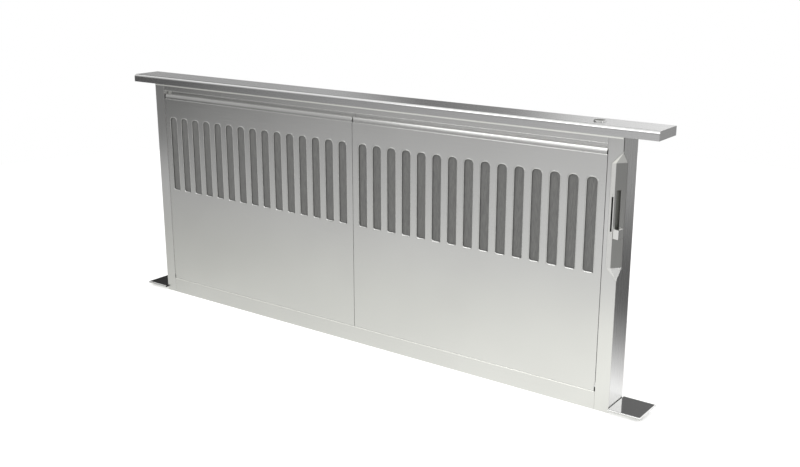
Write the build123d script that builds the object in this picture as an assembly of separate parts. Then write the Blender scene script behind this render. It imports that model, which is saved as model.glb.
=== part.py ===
from build123d import *
import os
from math import cos, sin, radians, sqrt

# Retractable downdraft vent, shown raised out of the counter.
# Origin: middle of the head's slot, level with the counter top.
# +X to the right seen from the cooktop, +Y to the back, +Z up. Millimetres.

# ---- head: the slim column that rises behind the cooktop ----
head_width = 825.0
head_depth = 40.8
head_rise = 355.6
skirt_depth = 90.0
sheet = 1.0
stile_width = 19.8
seam_gap = 0.7
corner_seam = 0.2
header_height = 10.4
bottom_rail_height = 24.4
return_depth = 12.0
back_lap = 16.5

# ---- cap on top of the head ----
cap_end_overhang = 44.8
cap_side_overhang = 4.8
cap_thickness = 11.8
cap_sheet = 1.5
cap_front_radius = 4.0
cap_edge_radius = 1.2
cap_fit = 0.3

# ---- push button in the cap ----
button_from_end = 87.3
button_radius = 7.5
button_proud = 1.5
button_travel = 1.2
button_gap = 0.3
button_flange = 1.5
button_stem_half = 2.0
switch_half = 6.25
switch_length = 17.4

# ---- slotted filter covers ----
slot_count = 15
slot_pitch = 25.4
slot_width = 14.3
slot_height = 121.1
slot_bottom = 181.3
slot_top_radius = 5.5
slot_foot_radius = 2.5
slot_chord_angle = 30
groove_height = 13.0
groove_depth = 8.0
groove_edge_radius = 1.0
groove_roof_gap = 0.5
cover_return = 10.0
tab_width = 20.0
tab_length = 8.0
tab_setback = 5.0
tab_spread = 240.0
tab_slot_depth = 6.5
notch_width = 1.0
notch_height = 11.5

# ---- grease filters behind the covers ----
filter_thickness = 8.0
filter_gap = 0.3
filter_bottom = 40.0
filter_top = 326.0
filter_border = 9.0
mesh_thickness = 2.0
mesh_lap = 3.0

# ---- magnetic catches behind the top edge of the covers ----
catch_width = 20.0
catch_depth = 6.5
catch_height = 6.6
catch_spread = 200.0

# ---- control pocket in the right front corner ----
pocket_top = 322.3
pocket_bottom = 190.9
pocket_side = 15.2
pocket_fold_in = 9.4
pocket_fold_back = 2.0
pocket_rise = 14.0
bezel_wall = 1.6
bezel_gap = 0.15
track_width = 6.0
track_bottom = 230.0
track_top = 289.0
track_from_fold = 5.6
slit_width = 2.0
slit_bottom = 237.5
slit_top = 281.0
slit_from_edge = 2.5
slit_dot_radius = 0.9
slit_dot_gap = 2.7
knob_height = 12.0
knob_bottom = 228.9
knob_gap = 0.4
knob_travel = 45.0
knob_stem_width = 5.0
knob_stem_height = 6.0
control_width = 9.0
control_depth = 6.5
control_setback = 4.4
control_overrun = 8.0

# ---- posts and lift brackets inside the head ----
post_width = 25.0
post_sheet = 1.5
post_front = 0.0
post_fit = 0.2
bracket_plate = 3.0
bracket_reach = 23.5
bracket_front = 18.5
bracket_inset = 16.0
bracket_leg = 30.0
bracket_rail_gap = 2.0

# ---- lead screws, nuts and guides at both ends ----
screw_radius = 5.0
journal_radius = 4.0
running_gap = 0.05
screw_offset = 14.5
screw_y = -9.0
nut_radius = 7.0
nut_flange_radius = 9.0
nut_flange = 3.0
nut_length = 23.0
shoe_length = 40.0
shoe_gap = 0.3
shoe_from_head = 6.2
rail_width = 15.0
rail_depth = 10.0
rail_sheet = 1.5
rail_y = 12.5
rail_foot = 20.0
rail_head = 18.0
bearing_top = 32.0
bearing_height = 12.0
bearing_width = 20.0
seat_bottom_gap = 1.0

# ---- counter plates and housing ----
plate_top = 7.4
plate_thickness = 3.0
plate_gap = 0.9
plate_edge_radius = 1.4
leg_sheet = 1.2
leg_drop = 15.0
leg_inset = 4.0
gasket_width = 11.0
gasket_inset = 10.0
gasket_from_wall = 3.0
housing_depth_down = 620.0
housing_sheet = 1.2
housing_clear = 1.6
housing_side_clear = 27.5
housing_top_drop = 3.0
foot_hole_radius = 3.0
foot_hole_x = 350.0
foot_hole_y = 12.0
bead_count = 3
bead_height = 14.0
bead_corner = 4.0
bead_depth = 1.0
bead_first_drop = 136.0
bead_step = 74.0
bead_half_length = 330.0

# ---- drive at the bottom of the housing ----
drive_height = 22.0
gearbox_length = 34.0
gearbox_height = 32.0
gearbox_depth = 26.0
cast_corner = 4.0
seat_depth = 10.0
motor_x = 216.0
motor_block_length = 32.0
motor_can_radius = 14.0
motor_can_length = 68.0
motor_can_rise = 33.0
motor_can_y = 5.0
can_crown = 2.0
can_boss = 4.0
saddle_overhang = 12.0
saddle_sheet = 2.0

# ---- blower on the front of the housing ----
blower_z = -465.0
wheel_radius = 85.0
wheel_bore_radius = 68.0
wheel_width = 76.0
blade_count = 36
blade_sheet = 1.2
blade_bow = 3.2
blade_inset = 1.0
blade_lean = 18.0
wheel_plate = 1.5
wheel_start = 14.0
hub_radius = 14.0
hub_length = 22.0
shaft_radius = 4.0
shaft_hole_radius = 6.0
scroll_depth = 110.0
scroll_sheet = 1.2
scroll_start_radius = 104.0
scroll_growth = 14.0
tongue_angle = 35.0
inlet_radius = 70.0
outlet_x = 150.0
duct_radius = 74.5
duct_sheet = 1.0
duct_offset = 78.8
neck_length = 50.0
neck_folds = 6
collar_length = 50.0
flap_from_neck = 15.0
flap_gap = 0.6
flap_sheet = 0.8
flap_pin_radius = 2.0
flap_barrel_radius = 3.6
flap_barrel_length = 36.0
flap_barrel_gap = 1.0
motor_radius = 52.0
motor_length = 48.0
motor_flange = 4.0
motor_crown = 6.0
motor_screw_radius = 2.0
motor_screw_inset = 6.0
motor_screw_angles = (30, 150, 270)
motor_flange_width = 12.0
motor_bore_end = 5.0
vent_count = 10
vent_length = 18.0
vent_width = 4.0
vent_depth = 2.5

# ---- terminal box on the front of the housing ----
box_x = -280.0
box_z = -150.0
box_width = 100.0
box_height = 80.0
box_depth = 40.0
box_sheet = 1.2
lid_corner = 2.0
knockout_radius = 11.1
board_gap = 12.0
board_thickness = 1.6
board_margin = 6.0
pillar_radius = 2.5
relay_width = 22.0
relay_height = 15.4
driver_width = 28.0
driver_height = 10.4
driver_depth = 16.0

# ---- screws ----
plate_screw_radius = 2.0
plate_screw_spread = 18.0
plate_screw_length = 6.0
motor_screw_length = 8.0
box_screw_length = 5.0
box_screw_radius = 1.6
box_screw_inset = 6.0
screw_gap = 0.1
screw_hole_gap = 0.5

# ---- worked out from the sizes above ----
half_width = head_width / 2
front = -head_depth / 2
back = head_depth / 2
opening_half = half_width - stile_width
cover_width = opening_half - 1.5 * seam_gap
cover_middle = opening_half / 2 - seam_gap / 4
cover_bottom = bottom_rail_height + seam_gap
groove_bottom = head_rise - header_height - groove_height
groove_top = head_rise - header_height
wall_x = half_width + housing_side_clear
wall_y = back + housing_clear
screw_x = half_width + screw_offset
shaft_z = -housing_depth_down + drive_height
skirt_z = -skirt_depth
plate_underside = plate_top - plate_thickness
cap_half = half_width + cap_end_overhang
cap_front = front - cap_side_overhang
cap_top = head_rise + cap_thickness
button_x = cap_half - button_from_end
post_outer = half_width - sheet - post_fit
post_inner = post_outer - post_width


def block(x0, x1, y0, y1, z0, z1):
    size = Box(x1 - x0, y1 - y0, z1 - z0)
    return Pos((x0 + x1) / 2, (y0 + y1) / 2, (z0 + z1) / 2) * size


def rod(x, y, z0, z1, radius):
    return Pos(x, y, (z0 + z1) / 2) * Cylinder(radius, z1 - z0)


def cross_rod(x0, x1, y, z, radius):
    return Pos((x0 + x1) / 2, y, z) * Rot(0, 90, 0) * Cylinder(radius, x1 - x0)


def left_of(shape):
    return mirror(shape, about=Plane.YZ)


def save(name, shape):
    export_step(shape, f"parts/{name}.step")


def save_pair(name, right_shape):
    save(name + "_right", right_shape)
    save(name + "_left", left_of(right_shape))


def save_both(name, right_shape):
    # two handed copies of a hidden piece, one at each end, in one file
    save(name, Compound([right_shape, left_of(right_shape)]))


def ring_points(radius, angles):
    return [(radius * cos(radians(a)), radius * sin(radians(a))) for a in angles]


def flat_sided(radius, length):
    # bar with six flats, centred on the origin: used for what repeats, to keep the facets few
    return extrude(RegularPolygon(radius, 6), length / 2, both=True)


def hex_screw(radius, length):
    # hexagon head at the origin with the shank along -Z
    head = extrude(RegularPolygon(radius * 1.9, 6), radius * 1.2)
    return head + Pos(0, 0, -length / 2) * flat_sided(radius, length)


def faceted(rings):
    # solid closed by flat faces, each given by its corners
    return Solid(Shell([Face(Wire.make_polygon(ring, close=True)) for ring in rings]))


# ---------------------------------------------------------------- cap
def cap():
    outer = block(-cap_half, cap_half, cap_front, -cap_front, head_rise, cap_top)
    rim = outer.edges().group_by(Axis.Z)[-1]
    long_edges = rim.filter_by(Axis.X)
    outer = fillet(long_edges.sort_by(Axis.Y)[0], cap_front_radius)
    outer = fillet(outer.edges().group_by(Axis.Z)[-1].filter_by(Axis.X)[-1], cap_edge_radius)
    hollow = block(
        cap_sheet - cap_half,
        cap_half - cap_sheet,
        cap_front + cap_sheet,
        -cap_front - cap_sheet,
        head_rise,
        cap_top - cap_sheet,
    )
    hollow = fillet(
        hollow.edges().group_by(Axis.Z)[-1].filter_by(Axis.X).sort_by(Axis.Y)[0],
        cap_front_radius - cap_sheet,
    )
    hole = rod(button_x, 0, head_rise, cap_top + 1, button_radius + button_gap)
    return outer - hollow - hole


def cap_base():
    inset = cap_sheet + cap_fit
    plate = block(
        inset - cap_half,
        cap_half - inset,
        cap_front + inset,
        -cap_front - inset,
        head_rise,
        head_rise + cap_sheet,
    )
    return plate - square_bar(switch_half + button_gap, 0, cap_top)


def square_bar(half, z0, z1):
    # upright square bar on the button's axis
    return block(button_x - half, button_x + half, -half, half, z0, z1)


def button_top():
    return cap_top - cap_sheet - button_gap


def push_button():
    button = rod(
        button_x, 0, button_top() - button_flange, cap_top + button_proud, button_radius
    )
    button = chamfer(button.edges().group_by(Axis.Z)[-1], button_proud * 0.4)
    flange = square_bar(button_radius + button_flange, button_top() - button_flange, button_top())
    foot = head_rise + cap_sheet + button_travel + 2 * button_gap
    stem = square_bar(button_stem_half, foot, button_top() - button_flange)
    return button + flange + stem


def button_switch():
    seat = head_rise + cap_sheet
    top = seat + button_gap
    body = square_bar(switch_half, top - switch_length, top)
    flange = square_bar(switch_half + 2 * button_flange, seat, seat + button_travel)
    well = square_bar(button_stem_half + 2 * button_gap, top, cap_top)
    blades = [
        block(
            button_x + side * button_flange * 2 - button_gap,
            button_x + side * button_flange * 2 + button_gap,
            -button_flange,
            button_flange,
            top - switch_length - 3 * button_flange,
            top - switch_length,
        )
        for side in (-1, 1)
    ]
    return body + flange - well + blades[0] + blades[1]


# ---------------------------------------------------------------- head frame
def pocket_points(grow):
    # plan of the pocket in the right front corner; grow moves its walls into the head
    corner = (half_width, front)
    edge = (half_width - pocket_side + bezel_wall - grow, front)
    fold = (half_width - pocket_fold_in - grow * 0.8, front + pocket_fold_back + grow * 0.6)
    end = (half_width, front + pocket_side - bezel_wall + grow)
    return corner, edge, fold, end


def pocket_prism(grow):
    corner, edge, fold, end = pocket_points(grow)
    rise = pocket_rise + grow
    section = make_face(Polyline(corner, edge, fold, end, close=True))
    middle = Pos(0, 0, pocket_bottom) * extrude(section, pocket_top - pocket_bottom)
    tips = [
        corner_pyramid(corner, edge, fold, end, pocket_top, rise),
        corner_pyramid(corner, edge, fold, end, pocket_bottom, -rise),
    ]
    return middle + tips[0] + tips[1]


def corner_pyramid(corner, edge, fold, end, level, rise):
    base = [Vector(p[0], p[1], level) for p in (corner, edge, fold, end)]
    tip = Vector(corner[0], corner[1], level + rise)
    sides = [(base[i], base[(i + 1) % 4], tip) for i in range(4)]
    return faceted([base] + sides)


def stile(with_pocket):
    face = block(opening_half, half_width, front, front + sheet, skirt_z, head_rise)
    lip = block(opening_half, opening_half + sheet, front, front + return_depth, skirt_z, head_rise)
    strip = face + lip
    if with_pocket:
        strip -= pocket_prism(bezel_wall + bezel_gap)
    return strip


def side_panel(with_pocket):
    start = front + sheet + corner_seam
    web = block(half_width - sheet, half_width, start, back, skirt_z, head_rise)
    lap = block(half_width - back_lap, half_width, back - sheet, back, skirt_z, head_rise)
    panel = web + lap
    if with_pocket:
        panel -= pocket_prism(bezel_wall + bezel_gap)
    return panel


def back_panel():
    half = half_width - back_lap - corner_seam
    skin = block(-half, half, back - sheet, back, skirt_z, head_rise)
    between_posts = post_inner - post_fit
    lip = block(-between_posts, between_posts, back - return_depth, back, skirt_z, skirt_z + sheet)
    return skin + lip


def header_rail():
    half = opening_half - corner_seam
    skin = block(-half, half, front, front + sheet, groove_top, head_rise)
    shelves = [
        block(-half, half, front, front + return_depth, level, level + sheet)
        for level in (groove_top, head_rise - sheet)
    ]
    return skin + shelves[0] + shelves[1]


def bottom_rail():
    half = opening_half - corner_seam
    skin = block(-half, half, front, front + sheet, skirt_z, bottom_rail_height)
    shelf = block(
        -half, half, front, front + return_depth, bottom_rail_height - sheet, bottom_rail_height
    )
    foot = block(-half, half, front, front + return_depth, skirt_z, skirt_z + sheet)
    rail = skin + shelf + foot
    for middle in (-cover_middle, cover_middle):
        for side in (-1, 1):
            x = middle + side * tab_spread / 2
            y = front + tab_setback - seam_gap
            half_slot = tab_width / 2 + 2 * seam_gap
            rail -= block(
                x - half_slot,
                x + half_slot,
                y,
                y + tab_slot_depth,
                bottom_rail_height - 2 * sheet,
                bottom_rail_height + sheet,
            )
    return rail


def post():
    rear = back - sheet - post_fit
    top = head_rise - post_fit
    section = block(post_inner, post_outer, post_front, rear, skirt_z, top)
    void = block(
        post_inner - 1,
        post_outer - post_sheet,
        post_front + post_sheet,
        rear - post_sheet,
        skirt_z - 1,
        top + 1,
    )
    return section - void


def bottom_tie():
    half = post_inner - post_fit
    rear = back - sheet - post_fit
    foot = skirt_z + sheet + post_fit
    leg = block(-half, half, rear - post_sheet, rear, foot, foot + return_depth)
    head = foot + return_depth
    shelf = block(-half, half, rear - return_depth, rear, head - post_sheet, head)
    return leg + shelf


def magnet_catches():
    y0 = front + groove_depth + sheet + filter_gap
    half = catch_width / 2
    foot = groove_top - catch_height
    return [
        block(x - half, x + half, y0, y0 + catch_depth, foot, groove_top)
        for middle in (-cover_middle, cover_middle)
        for x in (middle - catch_spread / 2, middle + catch_spread / 2)
    ]


# ---------------------------------------------------------------- control pocket
def floor_frame():
    # plane on the pocket's sloping floor: X across it towards the side face, Z out of it
    corner, edge, fold, end = pocket_points(0)
    across = Vector(end[0] - fold[0], end[1] - fold[1], 0)
    across = across.normalized()
    outward = Vector(across.Y, -across.X, 0)
    return Plane(origin=(fold[0], fold[1], 0), x_dir=across, z_dir=outward)


def band_frame():
    # plane on the pocket's narrow front band: X from its outer edge to the fold
    corner, edge, fold, end = pocket_points(0)
    across = Vector(fold[0] - edge[0], fold[1] - edge[1], 0)
    across = across.normalized()
    outward = Vector(across.Y, -across.X, 0)
    return Plane(origin=(edge[0], edge[1], 0), x_dir=across, z_dir=outward)


def on_plane(frame, x0, x1, z0, z1, out0, out1):
    # upright bar on a pocket plane, whose own Y points up: x across, z up, out along its normal
    bar = Box(x1 - x0, z1 - z0, out1 - out0)
    return frame.location * Pos((x0 + x1) / 2, (z0 + z1) / 2, (out0 + out1) / 2) * bar


def control_bezel():
    lining = pocket_prism(bezel_wall) - pocket_prism(0)
    inside = block(0, half_width, front, back, 0, head_rise)
    lining = lining & inside
    track = on_plane(
        floor_frame(),
        track_from_fold - track_width / 2,
        track_from_fold + track_width / 2,
        track_bottom,
        track_top,
        -3 * bezel_wall,
        bezel_wall,
    )
    slit = on_plane(
        band_frame(),
        slit_from_edge - slit_width / 2,
        slit_from_edge + slit_width / 2,
        slit_bottom,
        slit_top,
        -3 * bezel_wall,
        bezel_wall,
    )
    lining = lining - track - slit
    for level in (slit_bottom - slit_dot_gap, slit_top + slit_dot_gap):
        place = band_frame().location * Pos(slit_from_edge, level, 0)
        lining -= place * Cylinder(slit_dot_radius, bezel_wall)
    return lining


def slider_knob():
    corner, edge, fold, end = pocket_points(0)
    frame = floor_frame()
    tuck = knob_gap / 2
    outline = make_face(
        Polyline(
            (fold[0] + tuck, fold[1] + tuck),
            (corner[0] - 2 * knob_gap, corner[1] + tuck),
            (end[0] - tuck, end[1] - knob_gap),
            close=True,
        )
    )
    wedge = Pos(0, 0, knob_bottom) * extrude(outline, knob_height)
    reach = 2 * pocket_side
    wedge -= on_plane(frame, -reach, reach, 0, head_rise, -reach, knob_gap)
    upright = wedge.edges().filter_by(Axis.Z).sort_by(Axis.Y)[0]
    wedge = fillet(upright, knob_gap)
    middle = knob_bottom + knob_height / 2
    stem = on_plane(
        frame,
        track_from_fold - knob_stem_width / 2,
        track_from_fold + knob_stem_width / 2,
        middle - knob_stem_height / 2,
        middle + knob_stem_height / 2,
        knob_gap - control_setback,
        2 * knob_gap,
    )
    return wedge + stem


def slide_control():
    frame = floor_frame()
    return on_plane(
        frame,
        track_from_fold - control_width / 2,
        track_from_fold + control_width / 2,
        track_bottom - control_overrun,
        track_top + control_overrun,
        -control_setback - control_depth,
        -control_setback,
    )


# ---------------------------------------------------------------- filter covers
def cover_profile():
    # section of the pressed sheet seen from the end: up the face, into the finger groove
    top = groove_top - groove_roof_gap
    centre_z = groove_bottom + groove_depth
    bend = groove_depth + sheet
    inner_z = centre_z - sqrt(bend * bend - sheet * sheet)
    lean = sqrt(0.5)
    outer_mid = (front + groove_depth * lean, centre_z - groove_depth * lean)
    inner_mid = (front + bend * lean, centre_z - bend * lean)
    outline = [
        Line((front, cover_bottom), (front, groove_bottom)),
        ThreePointArc((front, groove_bottom), outer_mid, (front + groove_depth, centre_z)),
        Line((front + groove_depth, centre_z), (front + groove_depth, top)),
        Line((front + groove_depth, top), (front + bend, top)),
        Line((front + bend, top), (front + bend, centre_z)),
        ThreePointArc((front + bend, centre_z), inner_mid, (front + sheet, inner_z)),
        Line((front + sheet, inner_z), (front + sheet, cover_bottom + sheet)),
        Line((front + sheet, cover_bottom + sheet), (front + cover_return, cover_bottom + sheet)),
        Line((front + cover_return, cover_bottom + sheet), (front + cover_return, cover_bottom)),
        Line((front + cover_return, cover_bottom), (front, cover_bottom)),
    ]
    face = make_face(outline)
    crest = face.vertices().sort_by_distance((front, groove_bottom, 0))[0]
    return fillet(crest, groove_edge_radius)


def slot_outline():
    # each rounded corner is a few chords of its arc, because thirty slots repeat it
    upper_x = slot_width / 2 - slot_top_radius
    lower_x = slot_width / 2 - slot_foot_radius
    upper_y = slot_height - slot_top_radius
    corners = (
        (upper_x, upper_y, slot_top_radius),
        (-upper_x, upper_y, slot_top_radius),
        (-lower_x, slot_foot_radius, slot_foot_radius),
        (lower_x, slot_foot_radius, slot_foot_radius),
    )
    points = []
    for quarter, (x, y, radius) in enumerate(corners):
        angles = range(90 * quarter, 90 * quarter + 91, slot_chord_angle)
        points += [(x + across, y + up) for across, up in ring_points(radius, angles)]
    return make_face(Polyline(*points, close=True))


def cover(middle):
    section = Plane.YZ * cover_profile()
    shell = Pos(middle - cover_width / 2, 0, 0) * extrude(section, cover_width)
    for side in (-1, 1):
        edge = middle + side * cover_width / 2
        inner = edge - side * sheet
        shell += block(
            min(edge, inner),
            max(edge, inner),
            front,
            front + cover_return,
            cover_bottom,
            groove_bottom - groove_edge_radius,
        )
        if side * middle > 0:
            # small open corner at the foot of the cover's outer edge
            notch = edge - side * notch_width
            shell -= block(
                min(edge, notch),
                max(edge, notch),
                front - sheet,
                front + cover_return + sheet,
                cover_bottom - sheet,
                cover_bottom + notch_height,
            )
        tab_x = middle + side * tab_spread / 2
        tab_y = front + tab_setback
        shell += block(
            tab_x - tab_width / 2,
            tab_x + tab_width / 2,
            tab_y,
            tab_y + sheet,
            cover_bottom - tab_length,
            cover_bottom + sheet,
        )
    first = middle - slot_pitch * (slot_count - 1) / 2
    slot_plane = Plane(origin=(0, front - 1, 0), x_dir=(1, 0, 0), z_dir=(0, -1, 0))
    cutter = extrude(slot_plane * slot_outline(), -(sheet + 2))
    cutters = [Pos(first + i * slot_pitch, 0, slot_bottom) * cutter for i in range(slot_count)]
    return shell - cutters


def filter_limits(middle):
    half = cover_width / 2 - sheet - filter_gap
    y0 = front + sheet + filter_gap
    return middle - half, middle + half, y0, y0 + filter_thickness, filter_bottom, filter_top


def filter_frame(middle):
    x0, x1, y0, y1, z0, z1 = filter_limits(middle)
    ring = block(x0, x1, y0, y1, z0, z1)
    window = block(
        x0 + filter_border,
        x1 - filter_border,
        y0 - filter_gap,
        y1 + filter_gap,
        z0 + filter_border,
        z1 - filter_border,
    )
    y_mesh = (y0 + y1) / 2
    seat = block(
        x0 + filter_border - mesh_lap,
        x1 - filter_border + mesh_lap,
        y_mesh - mesh_thickness / 2,
        y_mesh + mesh_thickness / 2,
        z0 + filter_border - mesh_lap,
        z1 - filter_border + mesh_lap,
    )
    return ring - window - seat


def filter_mesh(middle):
    x0, x1, y0, y1, z0, z1 = filter_limits(middle)
    lap = filter_border - mesh_lap
    y_mesh = (y0 + y1) / 2
    return block(
        x0 + lap, x1 - lap, y_mesh - mesh_thickness / 2, y_mesh + mesh_thickness / 2, z0 + lap, z1 - lap
    )


# ---------------------------------------------------------------- lift
def rail_limits():
    return wall_x - rail_depth, wall_x, rail_y - rail_width / 2, rail_y + rail_width / 2


def guide_rail():
    x0, x1, y0, y1 = rail_limits()
    bottom = -housing_depth_down + rail_foot
    channel = block(x0, x1, y0, y1, bottom, -rail_head)
    void = block(x0 - 1, x1 - rail_sheet, y0 + rail_sheet, y1 - rail_sheet, bottom - 1, 0)
    return channel - void


def guide_shoe():
    x0, x1, y0, y1 = rail_limits()
    inset = rail_sheet + shoe_gap
    start = half_width + shoe_from_head
    shoe = block(start, x1 - inset, y0 + inset, y1 - inset, skirt_z, skirt_z + shoe_length)
    ends = shoe.edges().filter_by(Axis.Y).group_by(Axis.X)[-1]
    return chamfer(ends, rail_sheet)


def lift_bracket():
    # flat plate under the head with an ear round the nut and a leg up inside the post
    inner = half_width - bracket_inset
    x0, x1, y0, y1 = rail_limits()
    rear = y1 - rail_sheet - shoe_gap
    nose = half_width + bracket_reach
    foot = skirt_z - bracket_plate
    plate = block(inner, x0 - bracket_rail_gap, -bracket_front, rear, foot, skirt_z)
    ear = block(inner, nose, screw_y - nut_flange_radius, y0 - bracket_rail_gap, foot, skirt_z)
    web = post_outer - post_sheet
    inside = post_front + post_sheet + post_fit
    leg = block(web - post_sheet, web, inside, rear - bracket_plate, foot, skirt_z + bracket_leg)
    hole = rod(screw_x, screw_y, foot - sheet, skirt_z + sheet, nut_radius + running_gap)
    return plate + ear + leg - hole


def lift_nut():
    under = skirt_z - bracket_plate
    flange = Pos(screw_x, screw_y, under - nut_flange / 2) * flat_sided(nut_flange_radius, nut_flange)
    barrel = rod(screw_x, screw_y, under - nut_flange, under - nut_flange + nut_length, nut_radius)
    reach = 2 * nut_length
    bore = rod(screw_x, screw_y, under - reach, under + reach, screw_radius + running_gap)
    return flange + barrel - bore


def lead_screw():
    shoulder_top = -bearing_top - bearing_height - seat_bottom_gap
    shoulder_foot = shaft_z + gearbox_height / 2 + seat_bottom_gap
    thread = rod(screw_x, screw_y, shoulder_foot, shoulder_top, screw_radius)
    upper = rod(screw_x, screw_y, shoulder_top, -bearing_top, journal_radius)
    foot = shoulder_foot - seat_depth
    lower = rod(screw_x, screw_y, foot, shoulder_foot, journal_radius)
    return thread + upper + lower


def upper_bearing():
    half = bearing_width / 2
    foot = -bearing_top - bearing_height
    body = block(screw_x - half, wall_x, screw_y - half, screw_y + half, foot, -bearing_top)
    upright = body.edges().filter_by(Axis.Z).group_by(Axis.X)[0]
    body = chamfer(upright, half / 2)
    return body - rod(screw_x, screw_y, -housing_depth_down, 0, journal_radius + running_gap)


def angle_gearbox():
    x0 = wall_x - gearbox_length
    y0 = screw_y - gearbox_depth / 2
    foot = shaft_z - gearbox_height / 2
    top = shaft_z + gearbox_height / 2
    body = block(x0, wall_x, y0, y0 + gearbox_depth, foot, top)
    body = chamfer(body.edges().filter_by(Axis.Y), cast_corner)
    seat = journal_radius + running_gap
    bore = rod(screw_x, screw_y, top - seat_depth, top + seat_bottom_gap, seat)
    side = cross_rod(x0 - seat_bottom_gap, x0 + seat_depth, screw_y, shaft_z, seat)
    return body - bore - side


def cross_shaft():
    reach = wall_x - gearbox_length + seat_depth - seat_bottom_gap
    return cross_rod(-reach, reach, screw_y, shaft_z, journal_radius)


def lift_motor():
    x0 = motor_x - motor_block_length / 2
    x1 = motor_x + motor_block_length / 2
    reach = gearbox_height / 2
    case = block(
        x0,
        x1,
        screw_y - reach * 0.7,
        motor_can_y + motor_can_radius,
        shaft_z - reach,
        shaft_z + motor_can_rise + motor_can_radius,
    )
    case = chamfer(case.edges().filter_by(Axis.X), cast_corner)
    case -= cross_rod(x0 - 1, x1 + 1, screw_y, shaft_z, journal_radius + running_gap)
    axis_z = shaft_z + motor_can_rise
    end = x1 + motor_can_length
    can = cross_rod(x1, end, motor_can_y, axis_z, motor_can_radius)
    can = chamfer(can.edges().filter_by(GeomType.CIRCLE).sort_by(Axis.X)[-1], can_crown)
    boss = cross_rod(x1, end + can_boss, motor_can_y, axis_z, motor_can_radius / 3)
    return case + can + boss


def motor_saddle():
    half = motor_block_length / 2
    top = shaft_z - gearbox_height / 2
    floor = -housing_depth_down + housing_sheet
    reach = half + saddle_overhang
    saddle = block(motor_x - reach, motor_x + reach, front, back, floor, floor + saddle_sheet)
    for x in (motor_x - half, motor_x, motor_x + half - saddle_sheet):
        saddle += block(x, x + saddle_sheet, front + leg_inset, back - leg_inset, floor, top)
    return saddle


# ---------------------------------------------------------------- counter plates and housing
def end_plate():
    x0 = half_width + plate_gap
    plate = block(x0, cap_half, cap_front, -cap_front, plate_underside, plate_top)
    rim = plate.edges().group_by(Axis.Z)[-1]
    outer = [e for e in rim if e.center().X > x0 + 1]
    plate = fillet(outer, plate_edge_radius)
    x1 = wall_x - screw_gap
    leg = block(x1 - leg_sheet, x1, front + leg_inset, back - leg_inset, -leg_drop, plate_underside)
    return plate + leg - plate_screw_holes()


def plate_screw_levels():
    return [(y, -leg_drop / 2) for y in (-plate_screw_spread / 2, plate_screw_spread / 2)]


def plate_screw_holes():
    hole = Rot(0, 90, 0) * flat_sided(plate_screw_radius + screw_hole_gap, 4 * plate_screw_length)
    return [Pos(wall_x, y, z) * hole for y, z in plate_screw_levels()]


def counter_gasket():
    x0 = wall_x + gasket_from_wall
    half = -cap_front - gasket_inset
    pad = block(x0, x0 + gasket_width, -half, half, 0, plate_underside)
    return [pad, left_of(pad)]


def pressed_beads(face_y):
    # shallow stiffening beads pressed along the housing's back wall
    bar = Rectangle(2 * bead_half_length, bead_height)
    bar = chamfer(bar.vertices(), bead_corner)
    levels = [-bead_first_drop - bead_step * i for i in range(bead_count)]
    planes = [Plane(origin=(0, face_y, z), x_dir=(1, 0, 0), z_dir=(0, 1, 0)) for z in levels]
    return [extrude(plane * bar, bead_depth) for plane in planes]


def housing_front():
    y1 = -wall_y
    y0 = y1 - housing_sheet
    half = wall_x + housing_sheet
    wall = block(-half, half, y0, y1, -housing_depth_down, -housing_top_drop)
    hole = Pos(0, y0, blower_z) * Rot(90, 0, 0) * Cylinder(inlet_radius, 10 * housing_sheet)
    return wall - hole


def housing_back():
    half = wall_x + housing_sheet
    y1 = wall_y + housing_sheet
    wall = block(-half, half, wall_y, y1, -housing_depth_down, -housing_top_drop)
    for bead in pressed_beads(y1):
        wall += bead
    return wall


def housing_side():
    x1 = wall_x + housing_sheet
    side = block(wall_x, x1, -wall_y, wall_y, -housing_depth_down, -housing_top_drop)
    return side - plate_screw_holes()


def housing_bottom():
    foot = -housing_depth_down
    floor = block(-wall_x, wall_x, -wall_y, wall_y, foot, foot + housing_sheet)
    for x in (-foot_hole_x, foot_hole_x):
        for y in (-foot_hole_y, foot_hole_y):
            floor -= rod(x, y, foot - housing_sheet, foot + 2 * housing_sheet, foot_hole_radius)
    return floor


# ---------------------------------------------------------------- blower, in its own frame
# local X to the right, local Y up, local Z out of the housing's front wall
blower_place = Location((0, -wall_y - housing_sheet, blower_z), (90, 0, 0))
scroll_top = scroll_start_radius + 3 * scroll_growth
tongue_radius = scroll_start_radius - scroll_growth
tongue_y = tongue_radius * sin(radians(tongue_angle))


def volute_outline(inset, end_x):
    # four quarter arcs, each one centre further on, give the spiral casing
    growth = scroll_growth
    radii = [tongue_radius - inset + growth * i for i in range(4)]
    centres = [(growth, 0), (0, 0), (0, growth), (growth, growth)]
    low = tongue_y + inset
    start = (centres[0][0] + sqrt(radii[0] ** 2 - low**2), low)
    half_tongue = radians(tongue_angle / 2)
    tip_mid = (centres[0][0] + radii[0] * cos(half_tongue), radii[0] * sin(half_tongue))
    lean = sqrt(0.5)
    right = (scroll_start_radius - inset, 0)
    bottom = (0, inset - scroll_start_radius)
    left = (-radii[2], growth)
    top = (growth, growth + radii[3])
    return [
        ThreePointArc(start, tip_mid, right),
        ThreePointArc(right, (radii[1] * lean, -radii[1] * lean), bottom),
        ThreePointArc(bottom, (-radii[2] * lean, growth - radii[2] * lean), left),
        ThreePointArc(left, (growth - radii[3] * lean, growth + radii[3] * lean), top),
        Line(top, (end_x, top[1])),
        Line((end_x, top[1]), (end_x, low)),
        Line((end_x, low), start),
    ]


def scroll_band():
    outer = extrude(make_face(volute_outline(0, outlet_x)), scroll_depth - 2 * scroll_sheet)
    inner = extrude(make_face(volute_outline(scroll_sheet, outlet_x + 10)), scroll_depth)
    return Pos(0, 0, scroll_sheet) * (outer - inner)


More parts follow.
